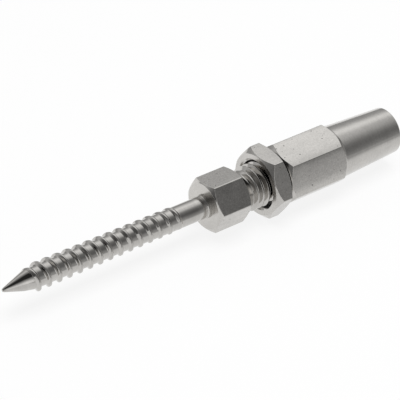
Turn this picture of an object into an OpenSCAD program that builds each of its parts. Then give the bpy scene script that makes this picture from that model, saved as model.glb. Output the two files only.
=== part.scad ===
// Wire rope tensioner with a wood screw. A wood screw, a hexagon and a metric stud are turned
// from one bar; a locknut and a conical sleeve run on the stud, and three wedge jaws inside
// the sleeve grip the end of the rope.
// X runs along the axis from the tip of the screw to the rope end and Z is up. The origin is
// on the axis, in the plane of the hexagon's front face. Sizes are in millimetres.

/* [Wood screw] */
// Length from the front face of the hexagon to the tip
screw_l = 50.9; // [30:0.1:80]
// Diameter of the plain shank
shank_d = 5; // [4.5:0.1:6]
// Diameter between the ridges of the wood thread
core_d = 4.6; // [4:0.1:4.8]
// Diameter over the wood thread near the tip
crest_tip_d = 6.04; // [5.6:0.02:7]
// Diameter over the wood thread near the shank
crest_shank_d = 5.44; // [5.2:0.02:6.4]
// Distance from one ridge of the wood thread to the next
wood_pitch = 2.55; // [2:0.05:3.5]
// Width of a ridge at its foot, as a share of the pitch
ridge_share = 0.5; // [0.3:0.05:0.7]
// Angle round the axis at which the wood thread starts
wood_start = -23; // [-180:1:180]
// Length of the plain shank between thread and hexagon
shank_l = 8.2; // [6:0.1:16]
// Length of the cone at the tip
tip_l = 6; // [4:0.1:9]
// Diameter of the blunt end of the tip
tip_d = 0.7; // [0.4:0.05:1.2]

/* [Hexagon] */
// Width across the flats of the screw's hexagon
hex_af = 11; // [11:0.5:16]
// Length of the screw's hexagon
hex_l = 8.5; // [6:0.1:14]
// Turn of the hexagon's corners about the axis
hex_turn = -6.3; // [-30:0.1:30]
// Radius of the fillet between shank and hexagon
neck_r = 0.9; // [0.4:0.1:1.4]
// Angle of the screw's chamfers and of the nut's rear chamfer, measured from the end faces
slim_angle = 30; // [25:1:40]
// Angle of the sleeve's chamfers and of the nut's front chamfer, measured from the end faces
steep_angle = 45; // [30:1:50]
// Depth of the fine ring groove in front of the fillet
ring_depth = 0.12; // [0.05:0.01:0.25]
// Width of the ring groove
ring_w = 0.75; // [0.4:0.05:1]

/* [Stud] */
// Outside diameter of the metric thread
stud_d = 10; // [8:0.5:10.4]
// Pitch of the metric thread
stud_pitch = 1.5; // [1.25:0.25:1.75]
// Length of the stud from the rear face of the hexagon to its end
stud_l = 22.7; // [20:0.1:24]
// Angle round the axis at which the metric thread starts
stud_start = -100; // [-180:1:180]
// Length of the undercut beside the hexagon
undercut_l = 0.7; // [0.4:0.05:1.5]
// Radial clearance between the stud and the bores that run on it
thread_gap = 0.08; // [0.04:0.01:0.1]

/* [Locknut] */
// Width across the flats of the locknut
nut_af = 14.4; // [13:0.1:19]
// Thickness of the locknut
nut_t = 4.5; // [3:0.1:8]
// Bare thread between the hexagon and the locknut
nut_travel = 5.7; // [3:0.1:6.5]
// Turn of the nut's corners about the axis
nut_turn = 1.7; // [-30:0.1:30]
// Diameter of the counterbore in the nut's front face
nut_sink_d = 11.9; // [11:0.1:12.4]
// Depth of the counterbore
nut_sink_l = 1; // [0.8:0.1:1.5]
// Height of the chamfer round the mouth of the counterbore
nut_sink_chamfer = 0.5; // [0.2:0.05:0.6]

/* [Sleeve] */
// Gap between the locknut and the sleeve
nut_gap = 0.45; // [0.35:0.05:3]
// Width across the flats of the sleeve's hexagon
sleeve_af = 13; // [13:0.5:18]
// Length of the sleeve's hexagon
sleeve_hex_l = 15.6; // [13:0.1:20]
// Turn of the sleeve's corners about the axis
sleeve_turn = 14.6; // [-30:0.1:30]
// Length of the whole sleeve
sleeve_l = 32.75; // [31:0.1:40]
// Diameter of the cone beside the hexagon
cone_d = 12.2; // [11.8:0.1:12.8]
// Diameter of the cone at the rope end
nose_d = 10.7; // [9.5:0.1:11.5]
// Height of the chamfer round the rope end
nose_chamfer = 0.4; // [0.2:0.05:0.8]

/* [Rope grip] */
// Diameter of the rope the jaws close on
rope_d = 4; // [3:0.1:4.2]
// Diameter of the rope hole in the end of the sleeve
rope_hole_d = 4.6; // [4.5:0.05:5]
// Length of the three jaws
jaw_l = 9.4; // [7:0.1:11]
// Half angle of the conical seat
seat_angle = 9.5; // [8:0.1:11]
// Slot between neighbouring jaws
jaw_slot = 0.5; // [0.3:0.05:0.8]
// Wire diameter of the spring behind the jaws
spring_wire_d = 0.7; // [0.5:0.05:0.9]
// Number of coils of the spring
spring_coils = 4; // [3:1:6]
// Thickness of the retaining ring
ring_t = 0.8; // [0.6:0.05:1]

/* [Hidden] */
$fn = 64;
skin = 0.05;
relief = 0.1;

// Positions along the axis
tip_x = -screw_l;
cone_x = tip_x + tip_l;
shank_x = -shank_l;
stud_x = hex_l;
stud_end = stud_x + stud_l;
nut_x = stud_x + nut_travel;
sleeve_x = nut_x + nut_t + nut_gap;
sleeve_end = sleeve_x + sleeve_l;
sleeve_cone_x = sleeve_x + sleeve_hex_l;

// Steps round each thread and over the wire of the spring
wood_steps = 30;
stud_steps = 24;
wire_steps = 8;

// Metric thread depth and core
stud_core_d = stud_d - 1.2268 * stud_pitch;
thread_bore_d = stud_d + 2 * thread_gap;

// The conical seat ends just inside the rope hole's lip, and the jaws fill it
lip_l = 1.5;
seat_gap = 0.05;
jaw_end_gap = 0.3;
seat_small_x = sleeve_end - lip_l;
seat_small_r = rope_hole_d / 2 + 0.3;
seat_slope = tan(seat_angle);
jaw_x1 = seat_small_x - jaw_end_gap;
jaw_x0 = jaw_x1 - jaw_l;
seat_large_x = jaw_x0 - 0.4;
chamber_r = seat_small_r + (seat_small_x - seat_large_x) * seat_slope;
thread_l = sleeve_hex_l - 0.8;
chamber_x = sleeve_x + thread_l;
ring_x = chamber_x + 0.6;
ring_seat_depth = 0.55;
spring_x0 = ring_x + ring_t + 0.1 + spring_wire_d / 2;
spring_x1 = jaw_x0 - 0.1 - spring_wire_d / 2;
spring_r = chamber_r - 0.25 - spring_wire_d / 2;

// Cylinder along X
module bar(x0, x1, r0, r1) {
  translate([x0, 0, 0]) rotate([0, 90, 0]) cylinder(h = x1 - x0, r1 = r0, r2 = r1);
}

// Solid of revolution about X from [x, r] points
module turned(points) {
  rotate([0, 90, 0])
    rotate_extrude()
      polygon([for (p = points) [p[1], p[0]]]);
}

// Hexagon bar along X with both ends chamfered. Each share gives the diameter of an end face
// as a share of the width across flats, each angle the slope of its chamfer.
module hex_bar(x0, len, af, turn, front_share, rear_share, front_angle, rear_angle) {
  corner = af / sqrt(3);
  f = af / 2 * front_share;
  b = af / 2 * rear_share;
  intersection() {
    translate([x0, 0, 0]) rotate([turn + 30, 0, 0]) rotate([0, 90, 0])
      cylinder(h = len, r = corner, $fn = 6);
    turned([
      [x0, 0], [x0, f], [x0 + (corner + 0.2 - f) * tan(front_angle), corner + 0.2],
      [x0 + len - (corner + 0.2 - b) * tan(rear_angle), corner + 0.2], [x0 + len, b],
      [x0 + len, 0]
    ]);
  }
}

// Threaded rod along X with one start. The core lists [x, radius] points. The profile lists
// [offset, height], the offset as a share of the pitch, the height 0 at the root, 1 at the crest.
function ramp(t, a, b) = min(1, max(0, (t - a) / (b - a)));
function rod_point(x, r, a) = [x, r * cos(a), r * sin(a)];

module threaded_rod(x0, x1, pitch, start, turns, steps, a0, profile, core, crest0, crest1,
                    fade0, fade1) {
  n = round(turns * steps);
  m = len(profile);
  first = steps;
  grid = first + (n + 1) * m;
  tail = grid + steps;
  function angle(k) = a0 + 360 * k / steps;
  function place(k, q) = start + pitch * (k / steps + q[0]);
  function fade(k) = min(ramp(k, 0, fade0 * steps), 1 - ramp(k, n - fade1 * steps, n));
  function crest(k) = crest0 + (crest1 - crest0) * k / n;
  function radius(k, x, h) = lookup(x, core) + (crest(k) - lookup(x, core)) * h * fade(k);
  function foot(k) = rod_point(place(k, profile[0]), lookup(place(k, profile[0]), core), angle(k));
  points = [
    for (k = [0 : steps - 1]) rod_point(x0, lookup(x0, core), angle(k)),
    for (k = [0 : n]) for (q = profile)
      rod_point(place(k, q), radius(k, place(k, q), q[1]), angle(k)),
    for (k = [1 : steps]) foot(n + k),
    for (k = [0 : steps - 1]) rod_point(x1, lookup(x1, core), angle(n + k))
  ];
  function at(k, j) = j < m ? (k <= n ? first + k * m + j : grid + k - n - 1) : at(k + steps, 0);
  front = [0, for (j = [0 : m]) at(0, j)];
  rear = [tail, for (j = [m : -1 : 0]) at(n, j)];
  faces = [
    [for (k = [0 : steps - 1]) k],
    for (k = [0 : steps - 2]) each [[k, at(k + 1, 0), k + 1], [k, at(k, 0), at(k + 1, 0)]],
    for (i = [0 : m]) [steps - 1, front[i + 1], front[i]],
    [steps - 1, at(steps - 1, 0), at(steps, 0)],
    for (k = [0 : n - 1]) for (j = [0 : m - 1]) each [
      [at(k, j), at(k + 1, j + 1), at(k + 1, j)], [at(k, j), at(k, j + 1), at(k + 1, j + 1)]
    ],
    for (i = [0 : m]) [tail + 1, rear[i + 1], rear[i]],
    [tail + 1, at(n + 1, 0), at(n, 0)],
    for (k = [1 : steps - 1]) each [
      [at(n + k, 0), tail + (k + 1) % steps, at(n + k + 1, 0)],
      [at(n + k, 0), tail + k, tail + (k + 1) % steps]
    ],
    [for (k = [steps - 1 : -1 : 0]) tail + k]
  ];
  polyhedron(points = points, faces = faces, convexity = 10);
}

// Rounded ridge of the wood thread and sharp ridge of the metric thread
ridge = [
  [-ridge_share / 2, 0], [-ridge_share / 4.6, 0.84], [0, 1], [ridge_share / 4.6, 0.84],
  [ridge_share / 2, 0]
];
metric_ridge = [[-0.4375 + 0.06, 0], [-0.0625, 1], [0.0625, 1], [0.4375 - 0.06, 0]];

// Wood screw, hexagon and stud, one piece
module lag_screw() {
  core_r = core_d / 2;
  shank_r = shank_d / 2;
  slope = (core_r - tip_d / 2) / tip_l;
  ring_x0 = -neck_r - 0.15 - ring_w;
  wood_turns = floor((shank_x - cone_x + 0.1) / wood_pitch * wood_steps) / wood_steps;
  wood_core = [
    [cone_x - 2, core_r - 2 * slope - skin], [cone_x, core_r - skin],
    [shank_x - 2, core_r - skin], [shank_x, shank_r - relief], [0, shank_r - relief]
  ];
  stud_turns = floor((stud_l - undercut_l - stud_pitch * 1.6) / stud_pitch * stud_steps)
               / stud_steps;
  stud_x0 = stud_x + undercut_l + 0.45 * stud_pitch;
  stud_core = [[stud_x, stud_core_d / 2], [stud_end, stud_core_d / 2]];
  color("silver") union() {
    turned([
      [tip_x, 0], [tip_x, tip_d / 2], [cone_x, core_r], [cone_x + 0.75 * wood_pitch, core_r],
      [cone_x + 0.75 * wood_pitch, 0]
    ]);
    threaded_rod(cone_x - 1, shank_x + 1.3 * wood_pitch, wood_pitch, cone_x - 0.1, wood_turns,
                 wood_steps, wood_start, ridge, wood_core, crest_tip_d / 2, crest_shank_d / 2,
                 1, 0.8);
    turned([
      [shank_x, 0], [shank_x, shank_r], [ring_x0, shank_r],
      [ring_x0 + ring_w / 3, shank_r - ring_depth],
      [ring_x0 + ring_w * 2 / 3, shank_r - ring_depth], [ring_x0 + ring_w, shank_r],
      [-neck_r, shank_r],
      for (a = [10 : 10 : 90]) [neck_r * (sin(a) - 1), shank_r + neck_r * (1 - cos(a))],
      [1, shank_r + neck_r], [1, 0]
    ]);
    hex_bar(0, hex_l, hex_af, hex_turn, 0.95, 0.98, slim_angle, slim_angle);
    bar(stud_x - 0.5, stud_x + undercut_l, stud_core_d / 2 + 0.04, stud_core_d / 2 + 0.04);
    threaded_rod(stud_x + 0.2, stud_end, stud_pitch, stud_x0, stud_turns, stud_steps, stud_start,
                 metric_ridge, stud_core, stud_d / 2, stud_d / 2, 0.4, 0.6);
  }
}

// Locknut with both faces chamfered, counterbored in front and countersunk behind
module locknut() {
  bore_r = thread_bore_d / 2;
  mouth_r = nut_sink_d / 2;
  throat_r = mouth_r - nut_sink_chamfer - 0.05;
  rear_r = bore_r + 0.4;
  color("gainsboro") difference() {
    hex_bar(nut_x, nut_t, nut_af, nut_turn, 0.98, 0.92, steep_angle, slim_angle);
    turned([
      [nut_x - 1, 0], [nut_x - 1, mouth_r], [nut_x, mouth_r],
      [nut_x + nut_sink_chamfer, mouth_r - nut_sink_chamfer], [nut_x + nut_sink_l, throat_r],
      [nut_x + nut_sink_l + throat_r - bore_r, bore_r],
      [nut_x + nut_t - rear_r + bore_r, bore_r], [nut_x + nut_t, rear_r],
      [nut_x + nut_t + 1, rear_r], [nut_x + nut_t + 1, 0]
    ]);
  }
}

// Sleeve with a hexagon in front and a cone behind, hollow for stud, jaws and rope
module terminal_sleeve() {
  shoulder = 0.15;
  color("lightsteelblue") difference() {
    union() {
      hex_bar(sleeve_x, sleeve_hex_l, sleeve_af, sleeve_turn, 0.985, 0.98, steep_angle,
              steep_angle);
      turned([
        [sleeve_cone_x - 3, 0], [sleeve_cone_x - 3, cone_d / 2],
        [sleeve_cone_x - 1, cone_d / 2 + shoulder], [sleeve_cone_x + 0.1, cone_d / 2 + shoulder],
        [sleeve_cone_x + 0.2, cone_d / 2 + 0.3 * shoulder],
        [sleeve_cone_x + 0.5, cone_d / 2],
        [sleeve_end - nose_chamfer, nose_d / 2],
        [sleeve_end, nose_d / 2 - nose_chamfer], [sleeve_end, 0]
      ]);
    }
    turned([
      [sleeve_x - 1, 0], [sleeve_x - 1, thread_bore_d / 2 + 1.4],
      [sleeve_x + 0.4, thread_bore_d / 2], [chamber_x, thread_bore_d / 2],
      [chamber_x + 0.4, chamber_r], [ring_x, chamber_r],
      [ring_x, chamber_r + ring_seat_depth],
      [ring_x + ring_t + 0.1, chamber_r + ring_seat_depth], [ring_x + ring_t + 0.1, chamber_r],
      [seat_large_x, chamber_r], [seat_small_x, seat_small_r], [seat_small_x, rope_hole_d / 2],
      [sleeve_end - 0.3, rope_hole_d / 2], [sleeve_end + 1, rope_hole_d / 2 + 1.3],
      [sleeve_end + 1, 0]
    ]);
  }
}

// One of the three wedge jaws, with ring teeth in its bore
module jaw(i) {
  seat_r0 = chamber_r - (jaw_x0 - seat_large_x) * seat_slope - seat_gap;
  seat_r1 = chamber_r - (jaw_x1 - seat_large_x) * seat_slope - seat_gap;
  bore_r = rope_d / 2;
  tooth = 0.16;
  teeth = 8;
  tooth_l = (jaw_l - 1.6) / teeth;
  apex = jaw_slot / 2 / sin(60);
  reach = 2 * chamber_r + 4;
  color("darkgray") rotate([120 * i, 0, 0]) intersection() {
    translate([jaw_x0 - 1, 0, 0]) rotate([90, 0, 90]) linear_extrude(jaw_l + 2)
      polygon([
        [apex, 0], [apex + reach * cos(60), reach * sin(60)],
        [apex + reach * cos(60), -reach * sin(60)]
      ]);
    turned([
      [jaw_x0, bore_r + 0.5], [jaw_x0, seat_r0 - 0.3], [jaw_x0 + 0.3, seat_r0 - 0.05],
      [jaw_x1, seat_r1], [jaw_x1, bore_r + 0.1], [jaw_x1 - 0.8, bore_r],
      for (k = [0 : teeth - 1]) each [
        [jaw_x1 - 0.8 - (k + 0.6) * tooth_l, bore_r + tooth],
        [jaw_x1 - 0.8 - (k + 1) * tooth_l, bore_r]
      ]
    ]);
  }
}

// Coil spring that keeps the jaws seated
module jaw_spring() {
  n = spring_coils * stud_steps;
  function centre(k) = spring_x0 + (spring_x1 - spring_x0)
                       * ramp(k, 0.6 * stud_steps, n - 0.6 * stud_steps);
  points = [
    for (k = [0 : n]) for (j = [0 : wire_steps - 1])
      rod_point(centre(k) + spring_wire_d / 2 * sin(360 * j / wire_steps),
                spring_r + spring_wire_d / 2 * cos(360 * j / wire_steps),
                360 * k / stud_steps)
  ];
  function at(k, j) = k * wire_steps + j % wire_steps;
  color("dimgray") polyhedron(points = points, convexity = 10, faces = [
    [for (j = [0 : wire_steps - 1]) j],
    for (k = [0 : n - 1]) for (j = [0 : wire_steps - 1]) each [
      [at(k, j), at(k + 1, j), at(k + 1, j + 1)], [at(k, j), at(k + 1, j + 1), at(k, j + 1)]
    ],
    [for (j = [wire_steps - 1 : -1 : 0]) n * wire_steps + j]
  ]);
}

// Open ring that sits in the groove and keeps spring and jaws in the sleeve
module retaining_ring() {
  outer_r = chamber_r + ring_seat_depth - 0.05;
  inner_r = spring_r - spring_wire_d / 2 - 0.3;
  color("slategray") difference() {
    bar(ring_x + 0.05, ring_x + 0.05 + ring_t, outer_r, outer_r);
    bar(ring_x - 1, ring_x + ring_t + 1, inner_r, inner_r);
    translate([ring_x - 1, -1.2, 0]) cube([ring_t + 2, 2.4, 20]);
  }
}

lag_screw();
locknut();
terminal_sleeve();
jaw(0);  // jaw_1
jaw(1);  // jaw_2
jaw(2);  // jaw_3
jaw_spring();
retaining_ring();
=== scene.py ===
import math

import bpy
import numpy as np
from mathutils import Matrix, Vector


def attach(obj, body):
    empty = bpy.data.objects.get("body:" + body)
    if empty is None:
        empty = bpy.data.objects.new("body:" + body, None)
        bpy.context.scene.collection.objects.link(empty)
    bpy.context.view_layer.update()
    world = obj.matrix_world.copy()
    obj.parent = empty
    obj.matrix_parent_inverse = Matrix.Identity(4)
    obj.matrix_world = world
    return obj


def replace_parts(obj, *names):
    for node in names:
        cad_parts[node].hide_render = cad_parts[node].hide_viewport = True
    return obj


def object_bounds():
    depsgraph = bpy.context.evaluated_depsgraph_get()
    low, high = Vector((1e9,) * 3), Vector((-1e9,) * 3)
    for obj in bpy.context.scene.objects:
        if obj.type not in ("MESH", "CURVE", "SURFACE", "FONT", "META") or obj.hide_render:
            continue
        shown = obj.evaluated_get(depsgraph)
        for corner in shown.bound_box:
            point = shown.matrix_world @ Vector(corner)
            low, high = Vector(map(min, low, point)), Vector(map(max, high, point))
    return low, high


# Wire rope tensioner with a wood screw. The screw, the locknut and the sleeve are rebuilt with
# fine threads, rounded edges and small bevels on the CAD's own sizes. Sizes are in millimetres
# here and go to metres when a mesh is made.
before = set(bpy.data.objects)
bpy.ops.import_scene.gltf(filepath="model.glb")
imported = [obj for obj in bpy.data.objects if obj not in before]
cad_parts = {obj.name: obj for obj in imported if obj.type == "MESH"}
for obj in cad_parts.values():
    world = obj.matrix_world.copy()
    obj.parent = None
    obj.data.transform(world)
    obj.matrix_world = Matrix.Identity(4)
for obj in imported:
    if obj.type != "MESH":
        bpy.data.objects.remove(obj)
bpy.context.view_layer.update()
MM = 0.001

# Sizes of the part's source: the wood screw
SCREW_L, TIP_L, SHANK_L, WOOD_PITCH = 50.9, 6.0, 8.2, 2.55
TIP_R, CORE_R, SHANK_R, CREST_TIP_R, CREST_SHANK_R = 0.35, 2.3, 2.5, 3.02, 2.72
HEX_AF, HEX_L, HEX_TURN = 11.0, 8.5, math.radians(-6.3)
TIP_X, SHANK_X = -SCREW_L, -SHANK_L
CONE_X = TIP_X + TIP_L

# Sizes of the part's source: the stud
STUD_R, STUD_L, STUD_PITCH, UNDERCUT = 5.0, 22.7, 1.5, 0.7
STUD_START = math.radians(-100)
STUD_CORE_R = STUD_R - 0.6134 * STUD_PITCH
STUD_END = HEX_L + STUD_L

# Sizes of the part's source: the locknut with its counterbored mouth
THREAD_GAP, NUT_TRAVEL = 0.08, 5.7
NUT_AF, NUT_T, NUT_TURN = 14.4, 4.5, math.radians(1.7)
SINK_R, SINK_L, SINK_BEVEL = 5.95, 1.0, 0.5
BORE_R = STUD_R + THREAD_GAP
NUT_X = HEX_L + NUT_TRAVEL

# Sizes of the part's source: the sleeve and the seat of the jaws inside it
NUT_GAP, SLEEVE_AF, SLEEVE_HEX_L, SLEEVE_L = 0.45, 13.0, 15.6, 32.75
SLEEVE_TURN = math.radians(14.6)
CONE_R, NOSE_R, NOSE_CHAMFER = 6.1, 5.35, 0.4
ROPE_R, LIP_L, JAW_L = 2.3, 1.5, 9.4
SEAT_LEDGE, SEAT_ANGLE, JAW_GAP, JAW_CLEAR = 0.3, math.radians(9.5), 0.3, 0.4
SLEEVE_X = NUT_X + NUT_T + NUT_GAP
SLEEVE_CONE_X, SLEEVE_END = SLEEVE_X + SLEEVE_HEX_L, SLEEVE_X + SLEEVE_L

# Face circles of the three hexagons, as a share of the width across flats, and the angles of
# their chamfers, as in the part's source
HEX_FRONT, HEX_REAR = 0.95, 0.98
NUT_FRONT, NUT_REAR = 0.98, 0.92
SLEEVE_FRONT, SLEEVE_REAR = 0.985, 0.98
SLIM, STEEP = math.radians(30), math.radians(45)

# Sizes that only the scene has: the radii of the hexagons' long edges, and how far and over
# which width the sleeve's flats fall beside their corners
HEX_CORNER, NUT_CORNER, SLEEVE_CORNER = 0.36, 0.28, 0.26
SLEEVE_ROLL, SLEEVE_ROLL_W = 0.14, 1.7

# The collar at the shank's end, from its foot to the hexagon's face, and the two grooves
# before it. A groove has its depth and middle, and its section is in shares of width and depth.
COLLAR_R, COLLAR_L, COLLAR_RISE_L, COLLAR_FALL_L, COLLAR_END = 2.68, 0.6, 0.12, 0.18, 0.05
COLLAR_EDGE = 0.07
RING_DEPTH, RING_W, RINGS_X = 0.06, 0.2, (-1.05, -0.8)
RING_SECTION = [(-0.5, 0), (-0.2, 1), (0.2, 1), (0.5, 0)]

# Radii that round the edges, from the finest to the widest
SHARP, HAIR, TINY, FINE, SMALL = 0, 0.02, 0.03, 0.04, 0.05
RIM, EDGE, SOFT, WIDE = 0.06, 0.08, 0.1, 0.12

# What a stretch of a surface is, and so its steel. The inside and the gap get darker steels, painted
# shade inside the bores and in the narrow gaps.
FACE, BEVEL, FLAT, TURNED, THREAD, INNER_PAINTED_SHADE, PAINTED_GAP_SHADE = range(7)

# A rounding and the flat point beside it stay within these shares of the sides that they are on
ROUND_SHARE, BESIDE_SHARE = 0.4, 0.46

# The angle from a corner of a hexagon to the middle of its side
HALF_SIDE = math.radians(30)


def rounded(path, arc=3, beside=0.03):
    """Points of a path [(x, r, radius, tag)] with its corners rounded, and a point on each side
    of a rounding that keeps the faces beside it flat in shading. The tag of a point belongs to
    the stretch that starts there. Returns the points and a tag for each."""
    p = np.array([q[:2] for q in path], float)
    tags = [q[3] if len(q) > 3 else FACE for q in path]
    out, kind = [p[0]], [tags[0]]
    for i in range(1, len(p) - 1):
        b, radius = p[i], path[i][2]
        if radius <= 0:
            out.append(b)
            kind.append(tags[i])
            continue
        u, w = p[i - 1] - b, p[i + 1] - b
        lu, lw = np.linalg.norm(u), np.linalg.norm(w)
        u, w = u / lu, w / lw
        half = math.acos(max(-1.0, min(1.0, float(u @ w)))) / 2
        t = min(radius / max(math.tan(half), 1e-6), ROUND_SHARE * lu, ROUND_SHARE * lw)
        out.append(b + u * min(t + beside, BESIDE_SHARE * lu))
        kind.append(tags[i - 1])
        for k in range(arc + 1):
            s = k / arc
            out.append(b + (1 - s) ** 2 * t * u + s ** 2 * t * w)
            kind.append(tags[i - 1] if k < (arc + 1) // 2 else tags[i])
        out.append(b + w * min(t + beside, BESIDE_SHARE * lw))
        kind.append(tags[i])
    out.append(p[-1])
    kind.append(tags[-1])
    return np.array(out), kind


def around(radii, path):
    """The rounded path for each radius in radii, as rings of x and r, with the tags."""
    loops = [rounded(path(r)) for r in radii]
    return np.array([pts for pts, _ in loops]).transpose(1, 2, 0), loops[0][1]


def hexagon(af, turn, corner, roll=0.0, roll_w=1.3, arc=5, flat=12, beside=0.04):
    """Angles and radii round a hexagon with rounded corners. Its flats fall by roll over the
    width roll_w beside each corner."""
    pts = []
    slope = math.atan(2 * roll / roll_w)
    inner = af / 2 - roll - corner * math.cos(slope)
    reach = inner * math.tan(HALF_SIDE) + corner * math.sin(slope)
    for k in range(6):
        c = turn + 2 * HALF_SIDE * k
        centre = inner / math.cos(HALF_SIDE) * np.array([math.cos(c), math.sin(c)])
        for i in range(arc + 1):
            a = c + (HALF_SIDE - slope) * (2 * i / arc - 1)
            pts.append(centre + corner * np.array([math.cos(a), math.sin(a)]))
        n = c + HALF_SIDE
        along = np.array([-math.sin(n), math.cos(n)])
        out = np.array([math.cos(n), math.sin(n)])
        for s in -(reach - beside) * np.cos(np.linspace(0, math.pi, flat)):
            fall = roll * max(0.0, 1 - (reach - abs(s)) / roll_w) ** 2
            pts.append(out * (af / 2 - fall) + along * s)
    pts = np.array(pts)
    return np.unwrap(np.arctan2(pts[:, 1], pts[:, 0])), np.hypot(pts[:, 0], pts[:, 1])


def hex_path(af, x0, x1, front, rear, front_angle, rear_angle, r, end=FACE):
    """Outer path of a chamfered hexagon bar where its radius is r, with face circles front
    and rear given as a share of the width across flats. end is the tag of the rear face."""
    f, b = af / 2 * front, af / 2 * rear
    return [
        (x0, f, EDGE, BEVEL), (x0 + (r - f) * math.tan(front_angle), r, SOFT, FLAT),
        (x1 - (r - b) * math.tan(rear_angle), r, SOFT, BEVEL), (x1, b, EDGE, end)]


def smooth_step(t, a, b):
    s = np.clip((np.asarray(t, float) - a) / (b - a), 0, 1)
    return s * s * (3 - 2 * s)


def added(name, data):
    """A new object of the scene."""
    ob = bpy.data.objects.new(name, data)
    bpy.context.scene.collection.objects.link(ob)
    return ob


class Skin:
    """One closed surface about the X axis, collected ring by ring."""

    def __init__(self, angles):
        self.a = np.asarray(angles, float)
        self.n = len(self.a)
        self.v, self.f, self.m, self.count = [], [], [], 0

    def add(self, x, r, a):
        """Adds points and returns the number of the first."""
        x, r, a = np.broadcast_arrays(np.asarray(x, float), np.asarray(r, float), a)
        self.v.append(np.stack([x, r * np.cos(a), r * np.sin(a)], -1).reshape(-1, 3))
        first = self.count
        self.count += x.size
        return first

    def ring(self, x, r):
        return self.add(x, r, self.a)

    def face(self, mat, *corners):
        self.f.append(corners)
        self.m.append(mat)

    def band(self, i, j, mat):
        n = self.n
        for k in range(n):
            q = (k + 1) % n
            self.face(mat, i + k, i + q, j + q, j + k)

    def pole(self, i, x, mat, front):
        """Closes the ring i with a fan round a point at x."""
        c = self.add(x, 0.0, np.zeros(1))
        for k in range(self.n):
            q = (k + 1) % self.n
            self.face(mat, *((c, i + q, i + k) if front else (c, i + k, i + q)))

    def path(self, last, points, mats):
        """Rings through points, a band of material mats[i] leading up to points[i]."""
        for (x, r), mat in zip(points, mats):
            here = self.ring(x, r)
            self.band(last, here, mat)
            last = here
        return last

    def loop(self, rings, tags):
        """A closed ring of bands, the band after ring i with tag i."""
        first = last = None
        for (x, r), mat in zip(rings, tags):
            here = self.ring(x, r)
            if last is None:
                first = here
            else:
                self.band(last, here, before)
            last, before = here, mat
        self.band(last, first, before)

    def helix(self, last, start, pitch, turns, profile, core, crest, fade, x1, mat):
        """A thread between the ring last and a new ring at x1, which it returns. start is where
        the thread's middle is at the first angle. core and crest give the radii at a place on
        the axis, and fade the share of the ridge that is left after a number of turns."""
        n, m, a = self.n, len(profile), self.a
        steps = int(round(turns * n))
        k = np.arange(steps + n + 1)
        ang = a[k % n] + 2 * math.pi * (k // n)
        turn = (ang - a[0]) / (2 * math.pi)
        q = np.array(profile, float)
        x = start + pitch * (turn[: steps + 1, None] + q[None, :, 0])
        c = core(x)
        h = q[None, :, 1] * fade(turn[: steps + 1])[:, None]
        r = c + (crest(x) - c) * h
        first = self.add(x, r, ang[: steps + 1, None] + np.zeros(m)[None, :])
        fx = start + pitch * (turn[steps + 1:] + q[0, 0])
        feet = self.add(fx, core(fx), ang[steps + 1:])
        tail = self.ring(x1, core(np.array(float(x1))))

        def at(i, j):
            if j == m:
                i, j = i + n, 0
            return first + i * m + j if i <= steps else feet + i - steps - 1

        for i in range(n - 1):
            self.face(mat, last + i, last + i + 1, at(i + 1, 0), at(i, 0))
        chain = [last] + [at(0, j) for j in range(m + 1)]
        self.face(mat, last + n - 1, last, at(n - 1, 0))
        for u, w in zip(chain, chain[1:]):
            self.face(mat, at(n - 1, 0), u, w)
        for i in range(steps):
            for j in range(m):
                self.face(mat, at(i, j), at(i + 1, j), at(i + 1, j + 1), at(i, j + 1))
        chain = [at(steps, j) for j in range(m + 1)] + [tail + steps % n]
        for u, w in zip(chain, chain[1:]):
            self.face(mat, u, at(steps + 1, 0), w)
        self.face(mat, chain[-1], at(steps + 1, 0), tail + (steps + 1) % n)
        for i in range(steps + 1, steps + n):
            self.face(mat, at(i, 0), at(i + 1, 0), tail + (i + 1) % n, tail + i % n)
        return tail

    def mesh(self, name, body, node):
        """The finished object, riding on its body in place of its CAD node."""
        me = bpy.data.meshes.new(name)
        me.from_pydata((np.concatenate(self.v) * MM).tolist(), [], self.f)
        for mt in STEEL:
            me.materials.append(mt)
        me.polygons.foreach_set("material_index", self.m)
        me.polygons.foreach_set("use_smooth", [True] * len(self.f))
        me.update()
        ob = added(name, me)
        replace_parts(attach(ob, body), node)
        return ob


# Node trees


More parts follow.
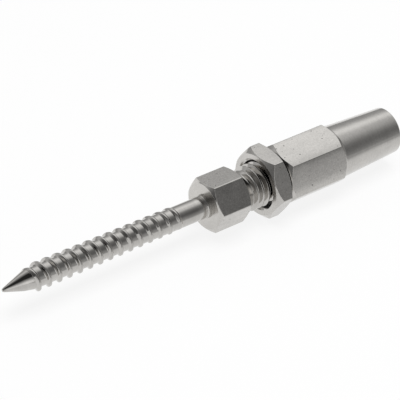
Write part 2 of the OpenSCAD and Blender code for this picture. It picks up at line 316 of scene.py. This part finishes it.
class Nodes:
    """Short hand for building a node tree."""

    def __init__(self, owner):
        owner.use_nodes = True
        self.t = owner.node_tree
        self.t.nodes.clear()

    def new(self, kind, **inputs):
        """A node with inputs set by name, with _ for a blank, or by number as i0, i1 and so on."""
        nd = self.t.nodes.new(kind)
        for key, val in inputs.items():
            by_number = key[0] == "i" and key[1:].isdigit()
            self.put(nd.inputs[int(key[1:])] if by_number else nd.inputs[key.replace("_", " ")], val)
        return nd

    def put(self, socket, val):
        if isinstance(val, bpy.types.NodeSocket):
            self.t.links.new(val, socket)
        else:
            socket.default_value = val

    def calc(self, op, a, b=0.0, c=0.0):
        nd = self.new("ShaderNodeMath", i0=a, i1=b, i2=c)
        nd.operation = op
        return nd.outputs[0]

    def times(self, a, b):
        return self.calc("MULTIPLY", a, b)

    def swing(self, noise, share, base):
        """base, moved up and down by share times the noise's distance from its middle."""
        return self.calc("MULTIPLY_ADD", self.calc("SUBTRACT", noise, 0.5), share, base)

    def ramp(self, fac, stops):
        nd = self.new("ShaderNodeValToRGB", Fac=fac)
        for e, (pos, val) in zip(nd.color_ramp.elements, stops):
            e.position, e.color = pos, (*[val] * 3, 1)
        return nd.outputs[0]

    def mix(self, fac, a, b):
        """Colour a, or b where fac is 1."""
        nd = self.t.nodes.new("ShaderNodeMix")
        nd.data_type = "RGBA"
        for key, val in ((0, fac), (6, a), (7, b)):
            self.put(nd.inputs[key], val)
        return nd.outputs[2]

    def grey(self, level):
        return self.new("ShaderNodeCombineColor", Red=level, Green=level, Blue=level).outputs[0]

    def step(self, val, a, b):
        """0 where val is at a, 1 at b, smooth between."""
        nd = self.new("ShaderNodeMapRange", Value=val)
        nd.interpolation_type = "SMOOTHSTEP"
        for name, v in (("From Min", min(a, b)), ("From Max", max(a, b)),
                        ("To Min", float(a > b)), ("To Max", float(a < b))):
            nd.inputs[name].default_value = v
        return nd.outputs[0]

    def blend(self, fac, a, b):
        """Shader a, or b where fac is 1."""
        nd = self.t.nodes.new("ShaderNodeMixShader")
        for socket, val in zip(nd.inputs, (fac, a.outputs[0], b.outputs[0])):
            self.put(socket, val)
        return nd

    def noise(self, vec, scale, detail=2.0, rough=0.5):
        return self.new(
            "ShaderNodeTexNoise", Vector=vec, Scale=scale, Detail=detail, Roughness=rough
        ).outputs["Fac"]

    def finish(self, kind, shader):
        self.new(f"ShaderNodeOutput{kind}", Surface=shader.outputs[0])


# Steel. The grain's noise is stretched along the marks: scales along x, y and z, or for a flat
# end along the radius, y and z. BUMP is the height of the marks in millimetres.
GRAIN = {"round": (6, 0.35, 0.35), "along": (0.4, 4, 4), "face": (5, 0.15, 0.15)}
SPECK_SCALE, PATCH_SCALE, BUMP = 2.3, 0.3, 0.0012
TONE_GAIN, TONE_SPAN = 4, 0.5
SPECK_ROUGH, PATCH_ROUGH = 0.12, 0.1
LINE_HEIGHT, SPECK_HEIGHT = 0.6, 0.4

# Pits: how dense they are, how their size varies, where they cluster, and their colour's share
# of the steel's and their depth beside that of the marks
PIT_SCALE, PIT_SIZE, PIT_SIZE_SCALE, PIT_SIZE_LEAST = 1.1, 0.5, 0.7, -0.1
PIT_PATCH_SCALE, PIT_PATCHES = 1.4, [(0.56, 0.0), (0.62, 1.0)]
PIT_SHADE, PIT_DEPTH = 0.35, 3.0


def shade(colour, share):
    return (*[c * share for c in colour], 1)


def steel(name, colour, rough, grain="round", marks=0.05, speckle=0.05, cloud=0.05, pits=0.0):
    """Satin stainless steel. grain is round (turning marks), along (drawn bar) or face
    (turning marks on a flat end). marks, speckle and cloud are the shares by which the colour
    varies along the grain, in small specks and in broad patches, and pits is how much of
    their dark colour the pits take."""
    mt = bpy.data.materials.new(name)
    n = Nodes(mt)
    co = n.new("ShaderNodeTexCoord").outputs["Object"]
    mm = n.new("ShaderNodeMapping", Vector=co, Scale=(1 / MM,) * 3).outputs[0]
    if grain == "face":
        _, y, z = n.new("ShaderNodeSeparateXYZ", Vector=mm).outputs
        r = n.calc("SQRT", n.calc("ADD", n.times(y, y), n.times(z, z)))
        r, y, z = (n.times(v, scale) for v, scale in zip((r, y, z), GRAIN[grain]))
        vec = n.new("ShaderNodeCombineXYZ", X=r, Y=y, Z=z).outputs[0]
    else:
        vec = n.new("ShaderNodeMapping", Vector=mm, Scale=GRAIN[grain]).outputs[0]
    line = n.noise(vec, 1.0, detail=3.0, rough=0.6)
    speck = n.noise(mm, SPECK_SCALE, detail=4.0, rough=0.7)
    patch = n.noise(mm, PATCH_SCALE, detail=3.0, rough=0.55)
    tone = 0.5
    for noise, share in ((line, marks), (speck, speckle), (patch, cloud)):
        tone = n.swing(noise, TONE_GAIN * share, tone)
    col = n.mix(tone, shade(colour, 1 - TONE_SPAN), shade(colour, 1 + TONE_SPAN))
    rgh = n.swing(patch, PATCH_ROUGH, n.swing(speck, SPECK_ROUGH, rough))
    height = n.calc("MULTIPLY_ADD", line, LINE_HEIGHT, n.times(speck, SPECK_HEIGHT))
    if pits:
        cell = n.new("ShaderNodeTexVoronoi", Vector=mm, Scale=PIT_SCALE, Randomness=1.0)
        size = n.noise(mm, PIT_SIZE_SCALE, detail=1.0)
        size = n.calc("MULTIPLY_ADD", size, PIT_SIZE, PIT_SIZE_LEAST)
        hole = n.calc("LESS_THAN", cell.outputs["Distance"], size)
        cluster = n.ramp(n.noise(mm, PIT_PATCH_SCALE, detail=1.0), PIT_PATCHES)
        hole = n.times(hole, cluster)
        col = n.mix(n.times(hole, pits), col, shade(colour, PIT_SHADE))
        height = n.calc("SUBTRACT", height, n.times(hole, PIT_DEPTH))
    bump = n.new("ShaderNodeBump", Strength=1.0, Distance=BUMP * MM, Height=height)
    n.finish("Material", n.new(
        "ShaderNodeBsdfPrincipled", Base_Color=col, Roughness=rgh, Metallic=1.0,
        Normal=bump.outputs[0]))
    return mt


# One steel for each tag, in the tags' order. The thread is a little darker than the bar. The
# inside steel is darker than the bar, painted shade inside the bores. The gap steel is far
# darker than real steel, painted shade that draws dark lines in the narrow gaps: it is on
# the wall of the nut's mouth, on the nut's rear face and on the ring in the sleeve's front.
BAR, THREAD_SHADE = (0.56, 0.545, 0.522), 0.91
THREAD_COLOUR = [THREAD_SHADE * v for v in BAR]
STEEL = [
    steel("steel_face", BAR, 0.24, "face", marks=0.05, speckle=0.08),
    steel("steel_bevel", BAR, 0.14, marks=0.04, speckle=0.1),
    steel("steel_flat", BAR, 0.18, "along", marks=0.03, speckle=0.16, cloud=0.06, pits=0.85),
    steel("steel_turned", BAR, 0.14, marks=0.06, speckle=0.08, cloud=0.06),
    steel("steel_thread", THREAD_COLOUR, 0.06, marks=0.06, speckle=0.05, cloud=0.08),
    # Painted shade: darker steel inside the bores.
    steel("steel_inside_painted_shade", (0.36, 0.355, 0.35), 0.36, marks=0.08, cloud=0.1),
    # Painted shade: near-black steel for the narrow gaps.
    steel("steel_gap_painted_shade", (0.1, 0.098, 0.095), 0.5, marks=0.08, cloud=0.1),
]
JAW = steel("steel_jaw", (0.5, 0.5, 0.5), 0.34, marks=0.08)
SPRING = steel("steel_spring", (0.45, 0.45, 0.44), 0.3, "along", marks=0.08)


# Threads. A ridge is given by half its width where the profile ends, at its foot and at its
# top, by its height as a share of the full depth, and by the radii at foot and top.
WOOD_RIDGE = (0.9, 0.55, 0.2, 0.97, 0.2, 0.16)
STUD_RIDGE = (0.72, 0.566, 0.094, 1.0, 0.1, 0.05)


def ridge(end, foot, top, height, foot_round, top_round, pitch, depth):
    """The points of a ridge, rounded, as [share of the pitch, share of the depth]."""
    rising = [(-end, 0, SHARP), (-foot, 0, foot_round), (-top, height * depth, top_round)]
    path = rising + [(-x, h, radius) for x, h, radius in reversed(rising)]
    pts = rounded(path, beside=0.04)[0][1:-1]
    keep = [pts[0]] + [b for a, b in zip(pts, pts[1:]) if b[0] - a[0] > 1e-4]
    return [(x / pitch, h / depth) for x, h in keep]


# The wood thread: the angle at which it starts, how far before the cone's end that is in
# millimetres, and how many pitches past the shank's start it ends. It rises between two turns
# after its start and falls between two turns before its end.
WOOD_START, WOOD_LEAD, WOOD_PAST = math.radians(-16), 0.1, 0.4
WOOD_RISE, WOOD_FALL = (-0.1, 0.7), (0.4, 0.03)

# The core widens a little along the thread and then more over its last millimetres. The
# thread's faces end on a ring on the shank, and the shank's own faces start beside it.
CORE_WIDER, CORE_LAST = 0.03, 12
THREAD_TAIL_X, SHANK_FACES_X = SHANK_X + 2.1 * WOOD_PITCH, SHANK_X + 2.2 * WOOD_PITCH

# The blunt tip as (distance from the end, radius), and where the cone's rings are
TIP_RINGS = [(0.0, 0.6 * TIP_R), (0.08, 0.9 * TIP_R), (0.25, TIP_R + 0.06)]
CONE_RINGS = np.linspace(TIP_X + 0.7, CONE_X - 1.6, 8)

# The metric thread, in turns: distance from the undercut, distance from the end, and the
# stretches over which it rises and falls
STUD_LEAD, STUD_STOP, STUD_RISE, STUD_FALL = 0.45, 1.15, 0.45, 0.6

# The radius of its core is this much larger than the exact one, and the hexagon's rear face
# starts as much further out
CORE_SPARE = 0.02

# The chamfer at the stud's end, and the ring round the middle of its face
END_CHAMFER_L, END_CHAMFER, END_RING_R = 0.15, 0.2, 2.0

# Rings on the flat face beside the collar, which keep its shading even
FACE_RINGS = (0.08, 0.14)


def wood_thread(sk, last):
    """The thread from the ring last on the cone to a ring on the shank."""
    start = CONE_X - WOOD_LEAD + WOOD_PITCH * (sk.a[0] - WOOD_START) / (2 * math.pi)
    turns = (SHANK_X + WOOD_PAST * WOOD_PITCH - start) / WOOD_PITCH
    fall_from, fall_to = (turns - t for t in WOOD_FALL)
    return sk.helix(
        last, start, WOOD_PITCH, turns, ridge(*WOOD_RIDGE, WOOD_PITCH, CREST_TIP_R - CORE_R),
        wood_core, lambda x: np.interp(x, [CONE_X, SHANK_X], [CREST_TIP_R, CREST_SHANK_R]),
        lambda t: smooth_step(t, *WOOD_RISE) * (1 - smooth_step(t, fall_from, fall_to)),
        THREAD_TAIL_X, THREAD)


def wood_core(x):
    return np.interp(x, [TIP_X, CONE_X, SHANK_X - CORE_LAST, SHANK_X],
                     [TIP_R, CORE_R, CORE_R + CORE_WIDER, SHANK_R])


def stud_thread(sk, last):
    """The thread from the ring last on the hexagon's rear face to a ring near the stud's end."""
    part_turn = (sk.a[0] - STUD_START) / (2 * math.pi) % 1
    start = HEX_L + UNDERCUT + STUD_PITCH * (STUD_LEAD + part_turn)
    turns = (STUD_END - start) / STUD_PITCH - STUD_STOP
    return sk.helix(
        last, start, STUD_PITCH, turns, ridge(*STUD_RIDGE, STUD_PITCH, STUD_R - STUD_CORE_R),
        lambda x: np.full(np.shape(x), STUD_CORE_R + CORE_SPARE),
        lambda x: np.full(np.shape(x), STUD_R),
        lambda t: smooth_step(t, 0, STUD_RISE) * (1 - smooth_step(t, turns - STUD_FALL, turns)),
        STUD_END - END_CHAMFER_L, THREAD)


def shank_path():
    """The shank behind the thread, with its two grooves and the collar at its end."""
    path = [(SHANK_FACES_X, SHANK_R, SHARP)]
    for middle in RINGS_X:
        path += [(middle + RING_W * t, SHANK_R - RING_DEPTH * deep, TINY)
                 for t, deep in RING_SECTION]
    return rounded(path + [
        (-COLLAR_L, SHANK_R, FINE), (-COLLAR_L + COLLAR_RISE_L, COLLAR_R, EDGE),
        (-COLLAR_FALL_L, COLLAR_R, COLLAR_EDGE), (0, SHANK_R + COLLAR_END, SHARP)],
        beside=0.02)[0]


def lag_screw():
    ang, hex_r = hexagon(HEX_AF, HEX_TURN, HEX_CORNER)
    sk = Skin(ang)
    end, *tip = [(TIP_X + far, r) for far, r in TIP_RINGS]
    tip += [(x, float(wood_core(x))) for x in CONE_RINGS]
    last = sk.ring(*end)
    sk.pole(last, TIP_X, THREAD, True)
    last = sk.path(last, tip, [THREAD] * len(tip))
    last = wood_thread(sk, last)
    shank = shank_path()
    last = sk.path(last, shank, [TURNED] * len(shank))
    face = [(0, SHANK_R + beside, SHARP, FACE) for beside in FACE_RINGS]
    rings, tags = around(hex_r, lambda r: face + hex_path(
        HEX_AF, 0, HEX_L, HEX_FRONT, HEX_REAR, SLIM, SLIM, r)
        + [(HEX_L, STUD_CORE_R + 2 * CORE_SPARE, SHARP, FACE)])
    last = sk.path(last, rings, [FACE] + tags[:-1])
    last = stud_thread(sk, last)
    end = [(STUD_END, STUD_CORE_R - END_CHAMFER), (STUD_END, END_RING_R)]
    last = sk.path(last, end, [FACE] * len(end))
    sk.pole(last, STUD_END, FACE, False)
    sk.mesh("lag_screw_fine", "screw", "lag_screw")


# The taper of the nut's mouth and the chamfer of its bore at the rear. Its path starts and
# ends inside the bore, at these distances from the front and the rear.
SINK_TAPER, SINK_REAR, NUT_FROM, NUT_TO = 0.05, 0.4, 2.4, 1


def locknut():
    ang, nut_r = hexagon(NUT_AF, NUT_TURN, NUT_CORNER)
    throat = SINK_R - SINK_BEVEL - SINK_TAPER
    x0, x1 = NUT_X, NUT_X + NUT_T
    # The mouth's wall and the rear face take the gap steel, painted shade in the narrow gaps, and
    # the bore the inside steel, painted shade too.
    front = [
        (x0 + NUT_FROM, BORE_R, SHARP, INNER_PAINTED_SHADE),
        (x0 + SINK_L + throat - BORE_R, BORE_R, FINE, PAINTED_GAP_SHADE),
        (x0 + SINK_L, throat, RIM, PAINTED_GAP_SHADE), (x0 + SINK_BEVEL, SINK_R - SINK_BEVEL, SMALL, BEVEL),
        (x0, SINK_R, RIM, FACE)]
    rear = [
        (x1, BORE_R + SINK_REAR, RIM, INNER_PAINTED_SHADE), (x1 - SINK_REAR, BORE_R, FINE, INNER_PAINTED_SHADE),
        (x1 - NUT_TO, BORE_R, SHARP, INNER_PAINTED_SHADE)]
    sk = Skin(ang)
    sk.loop(*around(nut_r, lambda r: front + hex_path(
        NUT_AF, x0, x1, NUT_FRONT, NUT_REAR, STEEP, SLIM, r, end=PAINTED_GAP_SHADE) + rear))
    sk.mesh("locknut_fine", "nut", "locknut")


# The sleeve's bore ends in a chamber that starts before the cone, 0.05 mm sooner than in the
# source, with the ring's groove behind its start. The chamfers are those of the bore, of the
# chamber and of the rope's hole.
CHAMBER_BEFORE, GROOVE_FROM, GROOVE_TO, GROOVE_DEPTH = 0.85, 0.6, 1.5, 0.55
BORE_CHAMFER_L, BORE_CHAMFER, CHAMBER_CHAMFER_L, MOUTH_CHAMFER = 0.4, 0.56, 0.4, 0.3

# The sleeve's path starts and ends in the bore, this far behind the front and before the chamber
SLEEVE_FROM, SLEEVE_TO = 6, 3

# The shoulder where the hexagon becomes the cone: distance behind the hexagon, height over the
# cone, radius and tag
SHOULDER = [(0, 0.15, HAIR, TURNED), (0.1, 0.15, FINE, TURNED), (0.2, 0.045, FINE, TURNED),
            (0.5, 0, SOFT, TURNED)]


def terminal_sleeve():
    ang, sleeve_r = hexagon(SLEEVE_AF, SLEEVE_TURN, SLEEVE_CORNER, SLEEVE_ROLL, SLEEVE_ROLL_W)
    seat_x, seat_r = SLEEVE_END - LIP_L, ROPE_R + SEAT_LEDGE
    large_x = seat_x - JAW_GAP - JAW_L - JAW_CLEAR
    chamber_r = seat_r + (seat_x - large_x) * math.tan(SEAT_ANGLE)
    chamber_x = SLEEVE_CONE_X - CHAMBER_BEFORE
    groove_x, groove_end = chamber_x + GROOVE_FROM, chamber_x + GROOVE_TO
    # The ring in the front takes the gap steel, painted shade in the narrow gap, and the bore,
    # chamber and seat the inside steel, painted shade too.
    front = [
        (SLEEVE_X + SLEEVE_FROM, BORE_R, SHARP, INNER_PAINTED_SHADE),
        (SLEEVE_X + BORE_CHAMFER_L, BORE_R, SMALL, INNER_PAINTED_SHADE),
        (SLEEVE_X, BORE_R + BORE_CHAMFER, FINE, PAINTED_GAP_SHADE)]
    nose = [(SLEEVE_CONE_X, SLEEVE_AF / 2 * SLEEVE_REAR, FINE, FACE)]
    nose += [(SLEEVE_CONE_X + far, CONE_R + high, radius, tag)
             for far, high, radius, tag in SHOULDER]
    nose += [(SLEEVE_END - NOSE_CHAMFER, NOSE_R, WIDE, TURNED),
             (SLEEVE_END, NOSE_R - NOSE_CHAMFER, SOFT, FACE)]
    seat = [
        (SLEEVE_END, ROPE_R + MOUTH_CHAMFER, SMALL, INNER_PAINTED_SHADE),
        (SLEEVE_END - MOUTH_CHAMFER, ROPE_R, SMALL, INNER_PAINTED_SHADE),
        (seat_x, ROPE_R, TINY, INNER_PAINTED_SHADE), (seat_x, seat_r, TINY, INNER_PAINTED_SHADE),
        (large_x, chamber_r, SOFT, INNER_PAINTED_SHADE), (groove_end, chamber_r, FINE, INNER_PAINTED_SHADE),
        (groove_end, chamber_r + GROOVE_DEPTH, FINE, INNER_PAINTED_SHADE),
        (groove_x, chamber_r + GROOVE_DEPTH, FINE, INNER_PAINTED_SHADE), (groove_x, chamber_r, FINE, INNER_PAINTED_SHADE),
        (chamber_x + CHAMBER_CHAMFER_L, chamber_r, SMALL, INNER_PAINTED_SHADE),
        (chamber_x, BORE_R, SMALL, INNER_PAINTED_SHADE), (chamber_x - SLEEVE_TO, BORE_R, SHARP, INNER_PAINTED_SHADE)]

    def path(r):
        body = hex_path(SLEEVE_AF, SLEEVE_X, SLEEVE_CONE_X, SLEEVE_FRONT, SLEEVE_REAR,
                        STEEP, STEEP, r)
        return front + body[:-1] + nose + seat

    sk = Skin(ang)
    sk.loop(*around(sleeve_r, path))
    sk.mesh("terminal_sleeve_fine", "sleeve", "terminal_sleeve")


def inner_pieces():
    """The pieces inside the sleeve keep their CAD solids and get the steel of the scene."""
    for name, mt in (("jaw_1", JAW), ("jaw_2", JAW), ("jaw_3", JAW), ("jaw_spring", SPRING),
                     ("retaining_ring", SPRING)):
        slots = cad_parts[name].data.materials
        slots.clear()
        slots.append(mt)


# The floor is nearly white to the camera. To a reflection it glows at the level FLOOR_SHINE,
# a painted reflection mostly in place of the lit floor, which falls as painted shade towards
# the camera's side and again further out there beside the hexagons and the sleeve. The
# stretches are in millimetres, from where a fall starts to where it ends. Both take GLOW_SHARE
# of the floor's light, and the lit floor the rest.
FLOOR_HALF, FLOOR_WHITE, FLOOR_SHINE = 1.5, 0.93, 1.04
NEAR_FALL, NEAR_Y = 0.19, (2, -14)
OUTER_FALL, OUTER_Y, OUTER_X = 0.5, (-13, -56), (-45, -5)
GLOW_SHARE = 0.85


def pale_floor():
    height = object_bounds()[0][2]
    me = bpy.data.meshes.new("floor")
    me.from_pydata([(sx * FLOOR_HALF, sy * FLOOR_HALF, height)
                    for sx, sy in ((-1, -1), (1, -1), (1, 1), (-1, 1))], [], [(0, 1, 2, 3)])
    mt = bpy.data.materials.new("floor_white")
    n = Nodes(mt)
    diffuse = n.new("ShaderNodeBsdfDiffuse", Color=(FLOOR_WHITE, FLOOR_WHITE, FLOOR_WHITE, 1))
    glow = n.new("ShaderNodeEmission", Color=(1, 1, 1, 1), Strength=1.0)
    co = n.new("ShaderNodeTexCoord").outputs["Object"]
    x, y, _ = n.new("ShaderNodeSeparateXYZ", Vector=co).outputs
    near = n.step(y, *(v * MM for v in NEAR_Y))
    outer = n.times(n.step(y, *(v * MM for v in OUTER_Y)), n.step(x, *(v * MM for v in OUTER_X)))
    level = n.calc("MULTIPLY_ADD", near, -NEAR_FALL, FLOOR_SHINE)
    level = n.calc("MULTIPLY_ADD", outer, -OUTER_FALL, level)
    # The glow that reflections see is painted reflection, darker in the two falls as painted shade.
    painted_reflection = n.new("ShaderNodeEmission", Color=n.grey(level), Strength=1.0)
    ray = n.new("ShaderNodeLightPath").outputs
    mirrored = n.blend(n.times(ray["Is Glossy Ray"], GLOW_SHARE), diffuse, painted_reflection)
    n.finish("Material", n.blend(n.times(ray["Is Camera Ray"], GLOW_SHARE), mirrored, glow))
    me.materials.append(mt)
    added("floor", me)


# The room is grey, a little brighter towards the screw's tip and overhead, and never darker
# than ROOM_LEAST
ROOM, ROOM_ROPE_END, ROOM_UP, ROOM_LEAST = 0.455, -0.105, 0.036, 0.03

# Soft lights and dark panels round the part, named as seen from the camera: azimuth, 0 at the
# rope's end and 90 on the far side, and elevation in degrees, how narrow it is, and how much
# it adds to the room
STUDIO = {
    "light behind": (32, 48, 21, 0.82),
    "light in front, low on the right": (-87, 16, 12.5, 1.0),
    "dark panel beside it": (-66, 22, 12.3, -0.47),
    "wide dark panel in front, on the left": (-175, 5, 2.5, -0.48),
    "dark panel high on the right": (-37, 69, 30, -0.6),
    "light on the left": (138, 23, 30, 0.45),
    "dark panel behind, on the right": (-2, 44, 30, -0.6),
    "light above it": (-9, 56, 25, 1.0),
    "light behind, on the left": (72, 40, 30, 0.7),
    "wide dark panel overhead": (-78, 81, 6.7, -0.6),
    "light on the left, below the horizon": (143, -14, 30, 1.0),
}


def studio():
    """The studio as the world, white to the camera."""
    world = bpy.data.worlds.new("studio")
    bpy.context.scene.world = world
    n = Nodes(world)
    way = n.new("ShaderNodeTexCoord").outputs["Generated"]
    x, _, z = n.new("ShaderNodeSeparateXYZ", Vector=way).outputs
    level = n.calc("MULTIPLY_ADD", x, ROOM_ROPE_END, ROOM)
    level = n.calc("MULTIPLY_ADD", z, ROOM_UP, level)
    for azimuth, elevation, narrow, amount in STUDIO.values():
        az, el = math.radians(azimuth), math.radians(elevation)
        aim = n.new("ShaderNodeVectorMath", i0=way, i1=(
            math.cos(el) * math.cos(az), math.cos(el) * math.sin(az), math.sin(el)))
        aim.operation = "DOT_PRODUCT"
        lobe = n.calc("EXPONENT", n.calc("MULTIPLY_ADD", aim.outputs["Value"], narrow, -narrow))
        level = n.calc("MULTIPLY_ADD", lobe, amount, level)
    level = n.calc("MAXIMUM", level, ROOM_LEAST)
    seen = n.new("ShaderNodeBackground", Color=(1, 1, 1, 1), Strength=1.0)
    lit = n.new("ShaderNodeBackground", Color=n.grey(level), Strength=1.0)
    n.finish("World", n.blend(n.new("ShaderNodeLightPath").outputs["Is Camera Ray"], lit, seen))


# The softbox above the part, in metres and watts
BOX_SIZE, BOX_PLACE, BOX_POWER = (0.5, 0.4), (0.05, -0.05, 0.6), 2.9


def softbox():
    lamp = bpy.data.lights.new("softbox", "AREA")
    lamp.shape, lamp.energy = "RECTANGLE", BOX_POWER
    lamp.size, lamp.size_y = BOX_SIZE
    box = added("softbox", lamp)
    box.location = BOX_PLACE
    box.visible_glossy = False


# The camera, fitted to the photograph, whose frame is 400 pixels wide: focal length in pixels,
# the object's origin from the camera in millimetres, and the angles that turn the object
FOCAL, FRAME_W, SENSOR_W, CLIP_START = 2100.0, 400, 36.0, 0.01
ORIGIN = (0.76, -1.34, -445.77)
SLANT, DIP, ROLL = math.radians(22.62), math.radians(30.96), math.radians(3.53)


def photo_camera():
    axis_x = np.array([math.cos(DIP) * math.cos(SLANT), math.cos(DIP) * math.sin(SLANT),
                       -math.sin(DIP)])
    up = np.array([0, -axis_x[2], axis_x[1]])
    up /= np.linalg.norm(up)
    side = np.cross(up, axis_x)
    axis_y = math.cos(ROLL) * side + math.sin(ROLL) * up
    axis_z = math.cos(ROLL) * up - math.sin(ROLL) * side
    turn = np.stack([axis_x, axis_y, axis_z])
    cam = bpy.data.cameras.new("camera")
    cam.lens, cam.sensor_width = SENSOR_W * FOCAL / FRAME_W, SENSOR_W
    cam.clip_start = CLIP_START
    placed = Matrix(turn.tolist()).to_4x4()
    placed.translation = Vector((-turn @ np.array(ORIGIN) * MM).tolist())
    camera = added("camera", cam)
    camera.matrix_world = placed
    bpy.context.scene.camera = camera
    bpy.context.scene.view_settings.view_transform = "Standard"


lag_screw()
locknut()
terminal_sleeve()
inner_pieces()
pale_floor()
studio()
softbox()
photo_camera()
